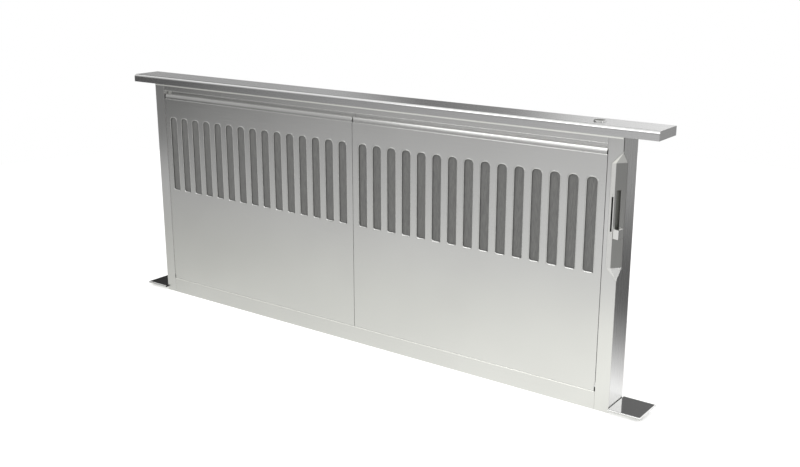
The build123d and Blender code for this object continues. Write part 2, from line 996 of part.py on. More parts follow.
def scroll_plate(hole_radius, level):
    plate = extrude(make_face(volute_outline(0, outlet_x)), scroll_sheet)
    return Pos(0, 0, level) * (plate - Cylinder(hole_radius, 10 * scroll_sheet))


def motor_screw_points():
    return ring_points(motor_radius + motor_flange_width - motor_screw_inset, motor_screw_angles)


def motor_screw_holes():
    hole = flat_sided(motor_screw_radius + screw_hole_gap, 4 * motor_screw_length)
    return [Pos(x, y, scroll_depth) * hole for x, y in motor_screw_points()]


def blower_wheel():
    # cranked forward-leaning blades between a closed back plate and an open front ring
    mid_radius = (wheel_radius + wheel_bore_radius) / 2
    half = (wheel_radius - wheel_bore_radius - blade_inset) / 2
    outline = Polyline(
        (-half, 0),
        (0, blade_bow),
        (half, 0),
        (half, -blade_sheet),
        (0, blade_bow - blade_sheet),
        (-half, -blade_sheet),
        close=True,
    )
    blade = make_face(outline)
    blade = Pos(mid_radius, 0, 0) * Rot(0, 0, -blade_lean) * extrude(blade, wheel_width - 2 * wheel_plate)
    blade = Pos(0, 0, wheel_plate) * blade
    rim = RegularPolygon(wheel_radius, blade_count)
    eye = RegularPolygon(wheel_bore_radius, blade_count, major_radius=False)
    ring = extrude(rim - eye, wheel_plate)
    plate = Pos(0, 0, wheel_width - wheel_plate) * extrude(rim, wheel_plate)
    hub = Pos(0, 0, wheel_width - hub_length / 2) * Cylinder(hub_radius, hub_length)
    wheel = ring + plate + hub
    for i in range(blade_count):
        wheel += Rot(0, 0, 360 / blade_count * i) * blade
    bore = Pos(0, 0, wheel_width) * Cylinder(shaft_radius, 3 * hub_length)
    return Pos(0, 0, wheel_start) * (wheel - bore)


def blower_shaft():
    start = wheel_start + wheel_width - hub_length
    end = scroll_depth + motor_length - motor_bore_end - seat_bottom_gap
    return Pos(0, 0, (start + end) / 2) * Cylinder(shaft_radius, end - start)


def blower_motor():
    # six-sided mounting plate with a screw in every second corner
    plate = extrude(RegularPolygon(motor_radius + motor_flange_width, 6), motor_flange)
    flange = Pos(0, 0, scroll_depth) * plate - motor_screw_holes()
    can = Pos(0, 0, scroll_depth + motor_length / 2) * Cylinder(motor_radius, motor_length)
    can = chamfer(can.edges().group_by(Axis.Z)[-1], motor_crown)
    vent = Pos(motor_radius * 0.7, 0, scroll_depth + motor_length)
    vent = vent * Box(vent_length, vent_width, 2 * vent_depth)
    vents = [Rot(0, 0, 360 / vent_count * i) * vent for i in range(vent_count)]
    start = scroll_depth - motor_flange
    end = scroll_depth + motor_length - motor_bore_end
    bore = Pos(0, 0, (start + end) / 2) * Cylinder(shaft_radius + running_gap, end - start)
    return flange + can - vents - bore


def duct_centre():
    return (tongue_y + scroll_top) / 2


def duct_plane(x):
    return Plane(origin=(x, duct_centre(), duct_offset), x_dir=(0, 1, 0), z_dir=(1, 0, 0))


def neck_body(inset, radius):
    # square-to-round transition: every corner of the outlet fans out to a quarter of the circle
    sides = ((scroll_top - inset, scroll_depth - inset), (tongue_y + inset, scroll_depth - inset))
    sides += ((tongue_y + inset, inset), (scroll_top - inset, inset))
    square = [Vector(outlet_x, y, z) for y, z in sides]
    centre = Vector(outlet_x + neck_length, duct_centre(), duct_offset)
    count = 4 * neck_folds
    mouth = [centre + Vector(0, y, z) for y, z in ring_points(radius, range(0, 360, 360 // count))]
    rings = [square, mouth]
    for quarter, corner in enumerate(square):
        start = quarter * neck_folds
        rings += [(corner, mouth[i], mouth[(i + 1) % count]) for i in range(start, start + neck_folds)]
        rings.append((corner, mouth[(start + neck_folds) % count], square[(quarter + 1) % 4]))
    return faceted(rings)


def duct_neck():
    return neck_body(0, duct_radius) - neck_body(duct_sheet, duct_radius - duct_sheet)


def duct_collar():
    start = duct_plane(outlet_x + neck_length)
    ring = Circle(duct_radius) - Circle(duct_radius - duct_sheet)
    collar = extrude(start * ring, collar_length)
    pin_hole = flap_pin_place() * Cylinder(flap_pin_radius, 3 * duct_radius)
    return collar - pin_hole


def flap_pin_place():
    x = outlet_x + neck_length + flap_from_neck
    return Location((x, duct_centre(), duct_offset), (90, 0, 0))


def damper_pin():
    return flap_pin_place() * Cylinder(flap_pin_radius, 2 * duct_radius)


def damper_flap(side):
    # half disc hinged on the upright pin; side 1 is the half away from the housing
    radius = duct_radius - duct_sheet - flap_gap
    disc = extrude(Circle(radius), flap_sheet / 2, both=True)
    clear = flap_barrel_radius + flap_barrel_gap
    half = disc & Pos(0, side * (radius / 2 + clear), 0) * Box(4 * radius, radius, 4 * flap_sheet)
    step = flap_barrel_length + flap_barrel_gap
    levels = (-step, step) if side < 0 else (0,)
    web = Box(flap_barrel_length, flap_barrel_radius * 2, flap_sheet)
    shape = half
    for x in levels:
        shape += Pos(x, 0, 0) * Rot(0, 90, 0) * flat_sided(flap_barrel_radius, flap_barrel_length)
        shape += Pos(x, side * flap_barrel_radius, 0) * web
    shape -= Rot(0, 90, 0) * Cylinder(flap_pin_radius + running_gap, 4 * radius)
    return duct_plane(outlet_x + neck_length + flap_from_neck).location * shape


# ---------------------------------------------------------------- terminal box
def junction_box():
    y1 = -wall_y - housing_sheet
    y0 = y1 - box_depth
    x0 = box_x - box_width / 2
    x1 = box_x + box_width / 2
    z0 = box_z - box_height / 2
    z1 = box_z + box_height / 2
    shell = block(x0, x1, y0, y1, z0, z1)
    shell -= block(
        x0 + box_sheet, x1 - box_sheet, y0 - 1, y1 - box_sheet, z0 + box_sheet, z1 - box_sheet
    )
    hole = Pos(x0, (y0 + y1) / 2, box_z) * Rot(0, 90, 0) * Cylinder(knockout_radius, 4 * box_sheet)
    return shell - hole


def junction_cover():
    y1 = -wall_y - housing_sheet - box_depth
    lid = block(
        box_x - box_width / 2,
        box_x + box_width / 2,
        y1 - box_sheet,
        y1,
        box_z - box_height / 2,
        box_z + box_height / 2,
    )
    lid = chamfer(lid.edges().filter_by(Axis.Y), lid_corner)
    hole = Rot(90, 0, 0) * flat_sided(box_screw_radius + screw_hole_gap, 10 * box_sheet)
    return lid - [Pos(x, y1, box_z) * hole for x in box_screw_xs()]


def box_screw_xs():
    reach = box_width / 2 - box_screw_inset
    return [box_x - reach, box_x + reach]


def control_board():
    # circuit board on four pillars, with the relay and the motor driver on its outer face
    rear = -wall_y - housing_sheet - box_sheet
    y1 = rear - board_gap
    y0 = y1 - board_thickness
    half_x = box_width / 2 - board_margin
    half_z = box_height / 2 - board_margin
    board = block(box_x - half_x, box_x + half_x, y0, y1, box_z - half_z, box_z + half_z)
    x0 = box_x - half_x + board_margin
    half = relay_width / 2
    board += block(x0, x0 + relay_width, y0 - relay_height, y0, box_z - half, box_z + half)
    x1 = box_x + half_x - board_margin
    foot = box_z - driver_width / 2
    board += block(x1 - driver_width, x1, y0 - driver_height, y0, foot, foot + driver_depth)
    pillar = Box(2 * pillar_radius, board_gap, 2 * pillar_radius)
    for x in (box_x - half_x + board_margin, box_x + half_x - board_margin):
        for z in (box_z - half_z + board_margin, box_z + half_z - board_margin):
            board += Pos(x, (rear + y1) / 2, z) * pillar
    return board


# ---------------------------------------------------------------- fasteners
def plate_screws():
    x = wall_x - screw_gap - leg_sheet
    screw = Rot(0, -90, 0) * hex_screw(plate_screw_radius, plate_screw_length)
    right = [Pos(x, y, z) * screw for y, z in plate_screw_levels()]
    return right + [left_of(one) for one in right]


def motor_screws():
    screw = hex_screw(motor_screw_radius, motor_screw_length)
    return [Pos(x, y, scroll_depth + motor_flange) * screw for x, y in motor_screw_points()]


def box_screws():
    y = -wall_y - housing_sheet - box_depth - box_sheet
    screw = Rot(90, 0, 0) * hex_screw(box_screw_radius, box_screw_length)
    return [Pos(x, y, box_z) * screw for x in box_screw_xs()]


os.makedirs("parts", exist_ok=True)

save("cap", cap())
save("cap_base", cap_base())
save("push_button", push_button())
save("button_switch", button_switch())
save("stile_right", stile(True))
save("stile_left", left_of(stile(False)))
save("side_panel_right", side_panel(True))
save("side_panel_left", left_of(side_panel(False)))
save("back_panel", back_panel())
save("header_rail", header_rail())
save("bottom_rail", bottom_rail())
save_pair("post", post())
save("bottom_tie", bottom_tie())
save("magnet_catches", Compound(magnet_catches()))
save("control_bezel", control_bezel())
save("slider_knob", slider_knob())
save("slide_control", slide_control())
for name, middle in (("left", -cover_middle), ("right", cover_middle)):
    save("filter_cover_" + name, cover(middle))
    save("filter_frame_" + name, filter_frame(middle))
    save("filter_mesh_" + name, filter_mesh(middle))
save_both("guide_rails", guide_rail())
save_both("guide_shoes", guide_shoe())
save_both("lift_brackets", lift_bracket())
save_both("lift_nuts", lift_nut())
save_pair("lead_screw", lead_screw())
save_both("upper_bearings", upper_bearing())
save_both("angle_gearboxes", angle_gearbox())
save("cross_shaft", cross_shaft())
save("lift_motor", lift_motor())
save("motor_saddle", motor_saddle())
save_pair("end_plate", end_plate())
save("counter_gasket", Compound(counter_gasket()))
save("housing_front", housing_front())
save("housing_back", housing_back())
save_both("housing_sides", housing_side())
save("housing_bottom", housing_bottom())
save("scroll_band", blower_place * scroll_band())
save("scroll_back", blower_place * scroll_plate(inlet_radius, 0))
front_plate = scroll_plate(shaft_hole_radius, scroll_depth - scroll_sheet) - motor_screw_holes()
save("scroll_front", blower_place * front_plate)
save("blower_wheel", blower_place * blower_wheel())
save("blower_shaft", blower_place * blower_shaft())
save("blower_motor", blower_place * blower_motor())
save("duct_neck", blower_place * duct_neck())
save("duct_collar", blower_place * duct_collar())
save("damper_pin", blower_place * damper_pin())
save("damper_flap_front", blower_place * damper_flap(1))
save("damper_flap_rear", blower_place * damper_flap(-1))
save("junction_box", junction_box())
save("junction_cover", junction_cover())
save("control_board", control_board())
save("plate_screws", Compound(plate_screws()))
save("motor_screws", Compound([blower_place * screw for screw in motor_screws()]))
save("box_screws", Compound(box_screws()))
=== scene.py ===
import bpy, math
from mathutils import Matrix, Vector


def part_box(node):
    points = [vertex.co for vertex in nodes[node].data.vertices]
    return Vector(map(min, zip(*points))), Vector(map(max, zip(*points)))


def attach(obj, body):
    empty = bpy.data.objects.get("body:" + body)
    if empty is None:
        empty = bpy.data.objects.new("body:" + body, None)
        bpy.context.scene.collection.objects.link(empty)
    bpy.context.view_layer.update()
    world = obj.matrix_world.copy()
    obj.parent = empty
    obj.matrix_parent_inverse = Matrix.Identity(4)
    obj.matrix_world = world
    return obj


# Raised downdraft vent: brushed stainless head over a galvanised housing under the counter.
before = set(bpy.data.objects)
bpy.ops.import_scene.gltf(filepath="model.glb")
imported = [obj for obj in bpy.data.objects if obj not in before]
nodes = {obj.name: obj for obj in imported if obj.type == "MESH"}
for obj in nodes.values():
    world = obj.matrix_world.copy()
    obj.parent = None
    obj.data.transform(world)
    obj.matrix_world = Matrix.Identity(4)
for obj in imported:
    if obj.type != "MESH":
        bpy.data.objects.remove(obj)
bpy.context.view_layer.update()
print("frame loaded:", len(nodes), "pieces")


# small helpers for the node trees and the meshes
def toLinear(hexColour):
    # sRGB hex to the linear values that Blender's sockets take
    channels = [int(hexColour[i:i + 2], 16) / 255 for i in (1, 3, 5)]
    return [c / 12.92 if c < 0.04045 else ((c + 0.055) / 1.055) ** 2.4 for c in channels] + [1.0]


def addNode(tree, kind, settings=None, stops=None, **links):
    # one node with its settings and a ramp's stops; a link is a socket's name, with _ for a space, or i and
    # the socket's number, and the value or the other socket that feeds it
    node = tree.nodes.new(kind)
    for name, value in (settings or {}).items():
        setattr(node, name, value)
    if stops:
        points = node.color_ramp.elements
        points.remove(points[1])
        points[0].position = stops[0][0]
        for position, _ in stops[1:]:
            points.new(position)
        for point, (_, colour) in zip(points, stops):
            point.color = colour if isinstance(colour, list) else [colour] * 3 + [1.0]
    for name, value in links.items():
        key = int(name[1:]) if name[0] == "i" and name[1:].isdigit() else name.replace("_", " ")
        socket = node.inputs[key]
        if isinstance(value, bpy.types.NodeSocket):
            tree.links.new(value, socket)
        else:
            socket.default_value = value
    return node


def newMaterial(name):
    material = bpy.data.materials.new(name)
    material.use_nodes = True
    material.node_tree.nodes.clear()
    return material, material.node_tree


def finishMaterial(tree, shader):
    output = addNode(tree, "ShaderNodeOutputMaterial")
    tree.links.new(shader.outputs[0], output.inputs["Surface"])


smoothAngle = math.radians(40)  # edges that turn less than this are shaded round


def makePiece(name, corners, faces, material, body):
    # corners in mm; the piece moves with its body and takes the finish it is given
    data = bpy.data.meshes.new(name)
    data.from_pydata([[c / 1000 for c in corner] for corner in corners], [], faces)
    data.polygons.foreach_set("use_smooth", [True] * len(data.polygons))
    data.set_sharp_from_angle(angle=smoothAngle)
    data.materials.append(material)
    piece = bpy.data.objects.new(name, data)
    bpy.context.scene.collection.objects.link(piece)
    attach(piece, body)
    return piece


# camera at the photograph's angle
cameraSettings = {
    "place": (0.90405, -1.13610, 0.57265),  # metres, in the part's own frame
    "azimuth": 36.305,
    "elevation": 15.73,
    "focalPixels": 1023.52,  # focal length in pixels of the 800 px wide picture
    "imageWidth": 800,
    "sensor": 36.0,  # mm
}


def makeCamera(s):
    data = bpy.data.cameras.new("photoCamera")
    data.sensor_width = s["sensor"]
    data.lens = s["focalPixels"] / s["imageWidth"] * s["sensor"]
    camera = bpy.data.objects.new("photoCamera", data)
    bpy.context.scene.collection.objects.link(camera)
    a, e = math.radians(s["azimuth"]), math.radians(s["elevation"])
    back = Vector((math.sin(a) * math.cos(e), -math.cos(a) * math.cos(e), math.sin(e)))
    camera.location = s["place"]
    camera.rotation_mode = "QUATERNION"
    camera.rotation_quaternion = (-back).to_track_quat("-Z", "Y")
    bpy.context.scene.camera = camera


makeCamera(cameraSettings)
print("camera placed")


# brushed stainless, 304 sheet with a satin No. 4 finish: fine parallel scratches, which smear each highlight
# out across them
stainless = {
    "roughSpread": 0.02,
    "smear": 0.7,  # anisotropy, highlights drawn out across the scratches
    "scratchPitch": 0.6,  # mm across the scratches; real ones are near 0.1 mm, drawn coarser to show
    "scratchLength": 70.0,  # mm
    "scratchDepth": 0.0025,  # mm
    "scratchBump": 0.35,
    "scratchTones": (0.975, 1.02),  # the darkest and the lightest scratch, times the sheet's own tone
    "cloudSize": 140.0,  # mm, slow drift of tone across the sheet
    "edgeRadius": 0.45,  # mm, sheet edges deburred round, so that they catch the light
}
# name: axis that the scratches run along, direction of the smear across them, roughness, and the two tones
# that drift into each other
brushings = {
    "stainlessSatinFront": ("X", (0, 0.7, 0.7), 0.25, "#CBCBC9", "#CFCFCD"),
    # folded edge: a lighter copy of the sheet, a painted highlight for the bright line at the seam
    "stainlessEdgePaintedHighlight": ("X", (0, 0.7, 0.7), 0.22, "#F0F0EC", "#F3F3EF"),
    "stainlessSatinCap": ("X", (0, 0.7, 0.7), 0.2, "#CACACA", "#D0D0CF"),
    "stainlessSatinStiles": ("Z", (0.7, 0.7, 0), 0.29, "#CCCCCA", "#D1D1CF"),
    "stainlessSatinSides": ("Z", (0.7, 0.7, 0), 0.28, "#C9C9C8", "#CECECD"),
    # anodised aluminium trim: its satin rim; a darker, rougher copy, painted shade on the pocket's floor;
    # and a lighter copy, a painted highlight on the knob
    "anodisedTrimSatin": ("Z", (0.7, 0.7, 0), 0.28, "#D0D0CD", "#D6D6D2"),
    "anodisedTrimPaintedShade": ("Z", (0.7, 0.7, 0), 0.36, "#A4A4A2", "#ABABA9"),
    "anodisedKnobPaintedLight": ("Z", (0.7, 0.7, 0), 0.3, "#E4E4E1", "#EAEAE7"),
}


def brushedSheet(name, s, along, smearAlong, rough, firstTone, secondTone):
    material, tree = newMaterial(name)
    place = addNode(tree, "ShaderNodeTexCoord").outputs["Object"]
    scale = [1000 / s["scratchPitch"]] * 3
    scale["XYZ".index(along)] = 1000 / s["scratchLength"]
    stretched = addNode(tree, "ShaderNodeMapping", Vector=place, Scale=scale).outputs[0]
    scratches = addNode(
        tree, "ShaderNodeTexNoise", Vector=stretched, Scale=1.0, Detail=3.0, Roughness=0.6
    ).outputs["Fac"]
    clouds = addNode(
        tree, "ShaderNodeTexNoise", Vector=place, Scale=1000 / s["cloudSize"], Detail=2.0
    ).outputs["Fac"]
    tones = [(0.3, toLinear(firstTone)), (0.7, toLinear(secondTone))]
    tone = addNode(tree, "ShaderNodeValToRGB", Fac=clouds, stops=tones).outputs[0]
    lined = addNode(
        tree,
        "ShaderNodeMapRange",
        Value=scratches,
        From_Min=0.3,
        From_Max=0.7,
        To_Min=s["scratchTones"][0],
        To_Max=s["scratchTones"][1],
    ).outputs[0]
    toned = addNode(tree, "ShaderNodeVectorMath", {"operation": "SCALE"}, i0=tone, Scale=lined).outputs[0]
    roughness = addNode(
        tree,
        "ShaderNodeMapRange",
        Value=scratches,
        From_Min=0.25,
        From_Max=0.75,
        To_Min=rough - s["roughSpread"],
        To_Max=rough + s["roughSpread"],
    ).outputs[0]
    rounded = addNode(tree, "ShaderNodeBevel", {"samples": 4}, Radius=s["edgeRadius"] / 1000).outputs[0]
    bump = addNode(
        tree,
        "ShaderNodeBump",
        Height=scratches,
        Strength=s["scratchBump"],
        Distance=s["scratchDepth"] / 1000,
        Normal=rounded,
    ).outputs[0]
    smear = addNode(tree, "ShaderNodeCombineXYZ", **dict(zip("XYZ", smearAlong))).outputs[0]
    shader = addNode(
        tree,
        "ShaderNodeBsdfPrincipled",
        Base_Color=toned,
        Metallic=1.0,
        Roughness=roughness,
        Anisotropic=s["smear"],
        Normal=bump,
        Tangent=smear,
    )
    finishMaterial(tree, shader)
    return material


# polished stainless end plate: buffed near to a mirror, with a few hairline wipe marks
polished = {
    "buffed": "#CDCDCC",
    "wiped": "#BFBFBE",
    "roughness": 0.06,
    "wipeRough": 0.12,
    "wipeSize": (12.0, 1.5, 25.0),  # mm in x, y and z: the marks run along the plate
    "wipeDepth": 0.01,  # mm
    "wipeBump": 0.05,
    "edgeRadius": 0.6,  # mm
}


def polishedPlate(name, s):
    material, tree = newMaterial(name)
    place = addNode(tree, "ShaderNodeTexCoord").outputs["Object"]
    scale = [1000 / size for size in s["wipeSize"]]
    stretched = addNode(tree, "ShaderNodeMapping", Vector=place, Scale=scale).outputs[0]
    wipes = addNode(tree, "ShaderNodeTexNoise", Vector=stretched, Scale=1.0, Detail=4.0).outputs["Fac"]
    roughness = addNode(
        tree,
        "ShaderNodeMapRange",
        Value=wipes,
        From_Min=0.35,
        From_Max=0.8,
        To_Min=s["roughness"],
        To_Max=s["wipeRough"],
    ).outputs[0]
    tones = [(0.3, toLinear(s["buffed"])), (0.9, toLinear(s["wiped"]))]
    colour = addNode(tree, "ShaderNodeValToRGB", Fac=wipes, stops=tones).outputs[0]
    rounded = addNode(tree, "ShaderNodeBevel", {"samples": 4}, Radius=s["edgeRadius"] / 1000).outputs[0]
    bump = addNode(
        tree,
        "ShaderNodeBump",
        Height=wipes,
        Strength=s["wipeBump"],
        Distance=s["wipeDepth"] / 1000,
        Normal=rounded,
    ).outputs[0]
    shader = addNode(
        tree, "ShaderNodeBsdfPrincipled", Base_Color=colour, Metallic=1.0, Roughness=roughness, Normal=bump
    )
    finishMaterial(tree, shader)
    return material


# galvanised sheet: zinc crystals about 9 mm across, each a slightly different grey
galvanised = {
    "dark": "#9BA1A4",
    "light": "#B9BEC0",
    "spangle": 9.0,  # mm
    "metallic": 0.9,
    "roughness": 0.42,
    "roughSpread": 0.08,
    "grainsPerMetre": 900.0,  # grit of about 1.1 mm under the spangle, drawn coarser to show
    "grainDepth": 0.05,  # mm
    "grainBump": 0.15,
    "edgeRadius": 0.6,  # mm
}


def galvanisedSheet(name, s):
    material, tree = newMaterial(name)
    place = addNode(tree, "ShaderNodeTexCoord").outputs["Object"]
    cells = addNode(tree, "ShaderNodeTexVoronoi", Vector=place, Scale=1000 / s["spangle"])
    shade = addNode(tree, "ShaderNodeSeparateColor", Color=cells.outputs["Color"]).outputs[0]
    tones = [(0.0, toLinear(s["dark"])), (1.0, toLinear(s["light"]))]
    colour = addNode(tree, "ShaderNodeValToRGB", Fac=shade, stops=tones).outputs[0]
    grain = addNode(
        tree, "ShaderNodeTexNoise", Vector=place, Scale=s["grainsPerMetre"], Detail=3.0
    ).outputs["Fac"]
    roughness = addNode(
        tree,
        "ShaderNodeMapRange",
        Value=shade,
        To_Min=s["roughness"] - s["roughSpread"],
        To_Max=s["roughness"] + s["roughSpread"],
    ).outputs[0]
    rounded = addNode(tree, "ShaderNodeBevel", {"samples": 4}, Radius=s["edgeRadius"] / 1000).outputs[0]
    bump = addNode(
        tree,
        "ShaderNodeBump",
        Height=grain,
        Strength=s["grainBump"],
        Distance=s["grainDepth"] / 1000,
        Normal=rounded,
    ).outputs[0]
    shader = addNode(
        tree,
        "ShaderNodeBsdfPrincipled",
        Base_Color=colour,
        Metallic=s["metallic"],
        Roughness=roughness,
        Normal=bump,
    )
    finishMaterial(tree, shader)
    return material


# machined, cast and moulded finishes share one recipe: fine grain in tone, gloss and relief
grains = {
    # name: dark and light tone, grain size in mm (drawn coarser than the real one, to show), metallic,
    # roughness, relief in mm
    "aluminiumMillFinish": ("#A7A7A5", "#B9B9B6", 3.0, 1.0, 0.38, 0.02),  # rolled: pale, softly clouded
    "steelGround": ("#B4B5B6", "#C6C7C8", 1.2, 1.0, 0.22, 0.01),  # close grind: the brightest steel
    "aluminiumDieCast": ("#8E8F8F", "#A4A5A5", 1.6, 0.9, 0.5, 0.08),  # grey skin with a sandy grain
    "enamelBlackSemiGloss": ("#1B1B1C", "#232425", 2.0, 0.0, 0.34, 0.03),  # sprayed: slight orange peel
    "nylonBlackMoulded": ("#131313", "#1B1B1B", 0.8, 0.0, 0.5, 0.03),  # dull eroded mould texture
    # the same grey is also laid on the button's top as painted shade
    "nylonGreyAndPaintedShade": ("#5B5C57", "#6B6C67", 0.8, 0.0, 0.5, 0.03),
    "acetalDarkMoulded": ("#262627", "#303031", 0.8, 0.0, 0.42, 0.02),  # a little waxier than nylon
    "bronzeMachined": ("#A9793B", "#C08F4C", 1.0, 1.0, 0.28, 0.01),  # turned: warm, even gloss
    # the same black is also laid on as painted shade in the seam above the pocket and on the plates' faces
    # at the head
    "blackFoamAndPaintedShade": ("#161616", "#222222", 0.9, 0.0, 0.92, 0.12),  # cut skin: black, no gloss
    "glassEpoxyGreen": ("#1D4A2C", "#235535", 1.5, 0.0, 0.4, 0.02),  # solder mask: green, smooth
    "zincPlatedScrews": ("#BFC0BC", "#D0D0CB", 0.7, 1.0, 0.28, 0.01),  # clear zinc: pale, bright
}
grainSpread = {"glossier": 0.05, "duller": 0.06, "bump": 0.4}


def grainedFinish(name, s, dark, light, grain, metallic, roughness, relief):
    material, tree = newMaterial(name)
    place = addNode(tree, "ShaderNodeTexCoord").outputs["Object"]
    speck = addNode(
        tree, "ShaderNodeTexNoise", Vector=place, Scale=1000 / grain, Detail=4.0, Roughness=0.65
    ).outputs["Fac"]
    tones = [(0.35, toLinear(dark)), (0.65, toLinear(light))]
    colour = addNode(tree, "ShaderNodeValToRGB", Fac=speck, stops=tones).outputs[0]
    gloss = addNode(
        tree,
        "ShaderNodeMapRange",
        Value=speck,
        From_Min=0.3,
        From_Max=0.7,
        To_Min=roughness - s["glossier"],
        To_Max=roughness + s["duller"],
    ).outputs[0]
    bump = addNode(
        tree, "ShaderNodeBump", Height=speck, Strength=s["bump"], Distance=relief / 1000
    ).outputs[0]
    shader = addNode(
        tree, "ShaderNodeBsdfPrincipled", Base_Color=colour, Metallic=metallic, Roughness=gloss, Normal=bump
    )
    finishMaterial(tree, shader)
    return material


# knitted aluminium grease mesh: fine slanting wires that read as an even grey behind the slots
mesh = {
    "shadow": "#636362",
    "wire": "#737371",
    "wirePitch": 1.0,  # mm; real wire is near 0.2 mm, drawn coarser to show
    "loopLength": 12.0,  # mm
    "wireDepth": 0.2,  # mm
    "wireBump": 0.3,
    "slant": 9,  # degrees
    "metallic": 0.25,
    "roughness": 0.6,
}


def knittedMesh(name, s):
    material, tree = newMaterial(name)
    place = addNode(tree, "ShaderNodeTexCoord").outputs["Object"]
    scale = (1000 / s["wirePitch"], 1000 / s["wirePitch"], 1000 / s["loopLength"])
    strands = []
    for turn in (s["slant"], -s["slant"]):
        turned = addNode(
            tree, "ShaderNodeMapping", Vector=place, Rotation=(0, math.radians(turn), 0)
        ).outputs[0]
        drawn = addNode(tree, "ShaderNodeMapping", Vector=turned, Scale=scale).outputs[0]
        strand = addNode(tree, "ShaderNodeTexNoise", Vector=drawn, Scale=1.0, Detail=1.0)
        strands.append(strand.outputs["Fac"])
    wires = addNode(
        tree, "ShaderNodeMath", {"operation": "MAXIMUM"}, i0=strands[0], i1=strands[1]
    ).outputs[0]
    tones = [(0.4, toLinear(s["shadow"])), (0.7, toLinear(s["wire"]))]
    colour = addNode(tree, "ShaderNodeValToRGB", Fac=wires, stops=tones).outputs[0]
    bump = addNode(
        tree, "ShaderNodeBump", Height=wires, Strength=s["wireBump"], Distance=s["wireDepth"] / 1000
    ).outputs[0]
    shader = addNode(
        tree,
        "ShaderNodeBsdfPrincipled",
        Base_Color=colour,
        Metallic=s["metallic"],
        Roughness=s["roughness"],
        Normal=bump,
    )
    finishMaterial(tree, shader)
    return material


# rolled steel lead screw: its thread drawn as a helical wave round the axis, with painted shade in the roots
# and a painted highlight on the crests
thread = {
    "lead": 20.0,  # mm
    "starts": 5,
    "screwY": -9.0,  # mm, the axis
    "depth": 0.6,  # mm
    "bump": 0.8,
    "roughness": 0.3,
    # the root tone is painted shade and the crest tone a painted highlight
    "paintedRootShade": "#5E5F60",
    "crest": "#C2C3C4",
}


def threadedSteel(name, axisX, s):
    material, tree = newMaterial(name)
    place = addNode(tree, "ShaderNodeTexCoord").outputs["Object"]
    moved = addNode(
        tree, "ShaderNodeMapping", Vector=place, Location=(-axisX, -s["screwY"] / 1000, 0)
    ).outputs[0]
    parts = addNode(tree, "ShaderNodeSeparateXYZ", Vector=moved).outputs
    turn = addNode(tree, "ShaderNodeMath", {"operation": "ARCTAN2"}, i0=parts[1], i1=parts[0]).outputs[0]
    ridges = 2 * math.pi * s["starts"] * 1000 / s["lead"]
    climb = addNode(tree, "ShaderNodeMath", {"operation": "MULTIPLY"}, i0=parts[2], i1=ridges).outputs[0]
    starts = addNode(
        tree, "ShaderNodeMath", {"operation": "MULTIPLY"}, i0=turn, i1=float(s["starts"])
    ).outputs[0]
    phase = addNode(tree, "ShaderNodeMath", {"operation": "SUBTRACT"}, i0=climb, i1=starts).outputs[0]
    ridge = addNode(tree, "ShaderNodeMath", {"operation": "SINE"}, i0=phase).outputs[0]
    height = addNode(tree, "ShaderNodeMapRange", Value=ridge, From_Min=-1.0).outputs[0]
    tones = [(0.1, toLinear(s["paintedRootShade"])), (0.8, toLinear(s["crest"]))]
    colour = addNode(tree, "ShaderNodeValToRGB", Fac=height, stops=tones).outputs[0]
    bump = addNode(
        tree, "ShaderNodeBump", Height=ridge, Strength=s["bump"], Distance=s["depth"] / 1000
    ).outputs[0]
    shader = addNode(
        tree,
        "ShaderNodeBsdfPrincipled",
        Base_Color=colour,
        Metallic=1.0,
        Roughness=s["roughness"],
        Normal=bump,
    )
    finishMaterial(tree, shader)
    return material


sheets = {name: brushedSheet(name, stainless, *look) for name, look in brushings.items()}
plain = {name: grainedFinish(name, grainSpread, *look) for name, look in grains.items()}
mirrorPlate = polishedPlate("stainlessPolishedPlate", polished)
zincSheet = galvanisedSheet("galvanisedSteelSpangled", galvanised)
greaseMesh = knittedMesh("aluminiumKnittedMesh", mesh)
threads = {}
for side in ("left", "right"):
    low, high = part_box("lead_screw_" + side)
    threads[side] = threadedSteel("steelThreaded_" + side, (low[0] + high[0]) / 2, thread)
print("materials made")

